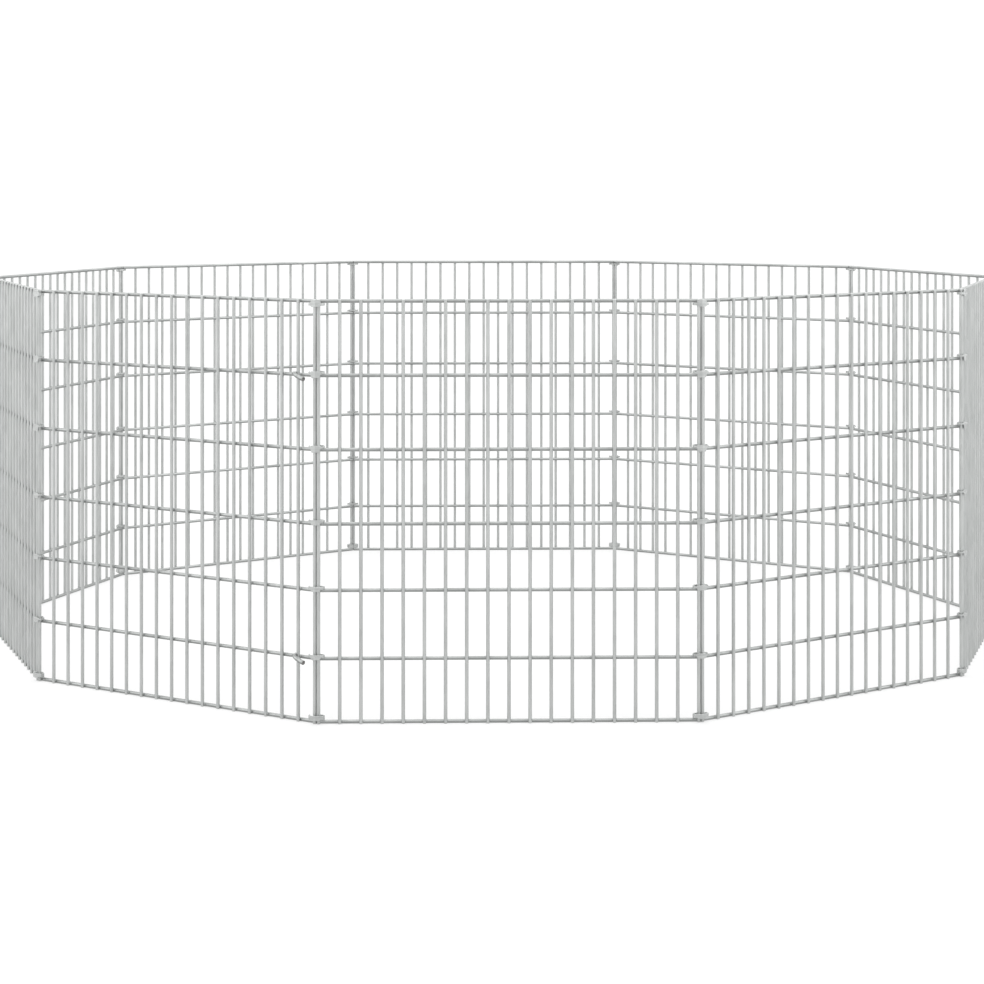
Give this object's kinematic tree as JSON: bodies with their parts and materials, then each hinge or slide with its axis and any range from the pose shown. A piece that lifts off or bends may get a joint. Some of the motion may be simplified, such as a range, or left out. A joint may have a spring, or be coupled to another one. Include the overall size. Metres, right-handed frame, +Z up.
{
  "type": "folding wire animal pen",
  "caption": "Folding ring pen of welded wire mesh panels joined at the posts by loose steel clips, with a door panel that carries wire latches.",
  "frame": {"origin": "on the ground at the centre of the closed ring", "axes": "+Z up; -Y towards the front panel, the one right of the post that opens; +X to the right seen from the front"},
  "size_m": [1.7728, 1.6874, 0.6],
  "materials": {
    "galvanised_wire": "hot-dip galvanised, semi-matt light grey",
    "clip_strip": "zinc coated strip, light grey",
    "latch_steel": "zinc coated, slightly darker grey"
  },
  "bodies": {
    "panel_1": {"panel_1": "galvanised_wire", "closing_clip_foot": "clip_strip", "closing_clip_lower": "clip_strip", "closing_clip_upper": "clip_strip", "closing_clip_top": "clip_strip"},
    "panel_2": {"panel_2": "galvanised_wire"},
    "panel_3": {"panel_3": "galvanised_wire"},
    "panel_4": {"panel_4": "galvanised_wire"},
    "panel_5": {"panel_5": "galvanised_wire"},
    "panel_6": {"panel_6": "galvanised_wire"},
    "panel_7": {"panel_7": "galvanised_wire"},
    "panel_8": {"panel_8": "galvanised_wire"},
    "panel_9": {"panel_9": "galvanised_wire"},
    "door_panel": {"door_panel": "galvanised_wire"},
    "hinge_clips_1": {"hinge_clip_1_foot": "clip_strip", "hinge_clip_1_lower": "clip_strip", "hinge_clip_1_upper": "clip_strip", "hinge_clip_1_top": "clip_strip"},
    "hinge_clips_2": {"hinge_clip_2_foot": "clip_strip", "hinge_clip_2_lower": "clip_strip", "hinge_clip_2_upper": "clip_strip", "hinge_clip_2_top": "clip_strip"},
    "hinge_clips_3": {"hinge_clip_3_foot": "clip_strip", "hinge_clip_3_lower": "clip_strip", "hinge_clip_3_upper": "clip_strip", "hinge_clip_3_top": "clip_strip"},
    "hinge_clips_4": {"hinge_clip_4_foot": "clip_strip", "hinge_clip_4_lower": "clip_strip", "hinge_clip_4_upper": "clip_strip", "hinge_clip_4_top": "clip_strip"},
    "hinge_clips_5": {"hinge_clip_5_foot": "clip_strip", "hinge_clip_5_lower": "clip_strip", "hinge_clip_5_upper": "clip_strip", "hinge_clip_5_top": "clip_strip"},
    "hinge_clips_6": {"hinge_clip_6_foot": "clip_strip", "hinge_clip_6_lower": "clip_strip", "hinge_clip_6_upper": "clip_strip", "hinge_clip_6_top": "clip_strip"},
    "hinge_clips_7": {"hinge_clip_7_foot": "clip_strip", "hinge_clip_7_lower": "clip_strip", "hinge_clip_7_upper": "clip_strip", "hinge_clip_7_top": "clip_strip"},
    "hinge_clips_8": {"hinge_clip_8_foot": "clip_strip", "hinge_clip_8_lower": "clip_strip", "hinge_clip_8_upper": "clip_strip", "hinge_clip_8_top": "clip_strip"},
    "hinge_clips_9": {"hinge_clip_9_foot": "clip_strip", "hinge_clip_9_lower": "clip_strip", "hinge_clip_9_upper": "clip_strip", "hinge_clip_9_top": "clip_strip"},
    "latch_lower": {"latch_lower": "latch_steel"},
    "latch_upper": {"latch_upper": "latch_steel"}
  },
  "joints": [
    {"name": "hinge_1", "type": "hinge", "parent": "panel_1", "child": "panel_2", "pos_m": [0.26964, -0.82987, 0], "axis": [0, 0, 1], "range_deg": [0, 141]},
    {"name": "clips_1_turn", "type": "hinge", "parent": "panel_1", "child": "hinge_clips_1", "pos_m": [0.26566, -0.83477, 0], "axis": [0, 0, 1], "range_deg": [0, 70.5]},
    {"name": "hinge_2", "type": "hinge", "parent": "panel_2", "child": "panel_3", "pos_m": [0.71605, -0.52024, 0], "axis": [0, 0, -1], "range_deg": [0, 211.5]},
    {"name": "clips_2_turn", "type": "hinge", "parent": "panel_2", "child": "hinge_clips_2", "pos_m": [0.70984, -0.52135, 0], "axis": [0, 0, -1], "range_deg": [0, 105.75]},
    {"name": "hinge_3", "type": "hinge", "parent": "panel_3", "child": "panel_4", "pos_m": [0.87257, 0, 0], "axis": [0, 0, 1], "range_deg": [0, 141]},
    {"name": "clips_3_turn", "type": "hinge", "parent": "panel_3", "child": "hinge_clips_3", "pos_m": [0.876, -0.0053, 0], "axis": [0, 0, 1], "range_deg": [0, 70.5]},
    {"name": "hinge_4", "type": "hinge", "parent": "panel_4", "child": "panel_5", "pos_m": [0.71605, 0.52024, 0], "axis": [0, 0, -1], "range_deg": [0, 211.5]},
    {"name": "clips_4_turn", "type": "hinge", "parent": "panel_4", "child": "hinge_clips_4", "pos_m": [0.71519, 0.51399, 0], "axis": [0, 0, -1], "range_deg": [0, 105.75]},
    {"name": "hinge_5", "type": "hinge", "parent": "panel_5", "child": "panel_6", "pos_m": [0.26964, 0.82987, 0], "axis": [0, 0, 1], "range_deg": [0, 141]},
    {"name": "clips_5_turn", "type": "hinge", "parent": "panel_5", "child": "hinge_clips_5", "pos_m": [0.27574, 0.83149, 0], "axis": [0, 0, 1], "range_deg": [0, 70.5]},
    {"name": "hinge_6", "type": "hinge", "parent": "panel_6", "child": "panel_7", "pos_m": [-0.27351, 0.84177, 0], "axis": [0, 0, -1], "range_deg": [0, 211.5]},
    {"name": "clips_6_turn", "type": "hinge", "parent": "panel_6", "child": "hinge_clips_6", "pos_m": [-0.26783, 0.83902, 0], "axis": [0, 0, -1], "range_deg": [0, 105.75]},
    {"name": "hinge_7", "type": "hinge", "parent": "panel_7", "child": "panel_8", "pos_m": [-0.70593, 0.51289, 0], "axis": [0, 0, 1], "range_deg": [0, 141]},
    {"name": "clips_7_turn", "type": "hinge", "parent": "panel_7", "child": "hinge_clips_7", "pos_m": [-0.70559, 0.51919, 0], "axis": [0, 0, 1], "range_deg": [0, 70.5]},
    {"name": "hinge_8", "type": "hinge", "parent": "panel_8", "child": "panel_9", "pos_m": [-0.88508, 0, 0], "axis": [0, 0, -1], "range_deg": [0, 208.5]},
    {"name": "clips_8_turn", "type": "hinge", "parent": "panel_8", "child": "hinge_clips_8", "pos_m": [-0.88071, 0.00455, 0], "axis": [0, 0, -1], "range_deg": [0, 104.25]},
    {"name": "door_hinge", "type": "hinge", "parent": "panel_9", "child": "door_panel", "pos_m": [-0.70593, -0.51289, 0], "axis": [0, 0, 1], "range_deg": [0, 140]},
    {"name": "clips_9_turn", "type": "hinge", "parent": "panel_9", "child": "hinge_clips_9", "pos_m": [-0.71182, -0.51061, 0], "axis": [0, 0, 1], "range_deg": [0, 70]},
    {"name": "latch_lower_swing", "type": "hinge", "parent": "door_panel", "child": "latch_lower", "pos_m": [-0.30112, -0.81021, 0.0918], "axis": [-0.809, 0.5878, 0], "range_deg": [-40, 15]},
    {"name": "latch_upper_swing", "type": "hinge", "parent": "door_panel", "child": "latch_upper", "pos_m": [-0.30112, -0.81021, 0.4921], "axis": [-0.809, 0.5878, 0], "range_deg": [-40, 15]}
  ],
  "couplings": [
    {"joint": "clips_1_turn", "follows": "hinge_1", "ratio": 0.5},
    {"joint": "hinge_2", "follows": "hinge_1", "ratio": 1.5},
    {"joint": "clips_2_turn", "follows": "hinge_1", "ratio": 0.75},
    {"joint": "hinge_3", "follows": "hinge_1", "ratio": 1},
    {"joint": "clips_3_turn", "follows": "hinge_1", "ratio": 0.5},
    {"joint": "hinge_4", "follows": "hinge_1", "ratio": 1.5},
    {"joint": "clips_4_turn", "follows": "hinge_1", "ratio": 0.75},
    {"joint": "hinge_5", "follows": "hinge_1", "ratio": 1},
    {"joint": "clips_5_turn", "follows": "hinge_1", "ratio": 0.5},
    {"joint": "hinge_6", "follows": "hinge_1", "ratio": 1.5},
    {"joint": "clips_6_turn", "follows": "hinge_1", "ratio": 0.75},
    {"joint": "hinge_7", "follows": "hinge_1", "ratio": 1},
    {"joint": "clips_7_turn", "follows": "hinge_1", "ratio": 0.5},
    {"joint": "hinge_8", "follows": "hinge_1", "ratio": 1.4787},
    {"joint": "clips_8_turn", "follows": "hinge_1", "ratio": 0.73936},
    {"joint": "clips_9_turn", "follows": "door_hinge", "ratio": 0.5}
  ]
}
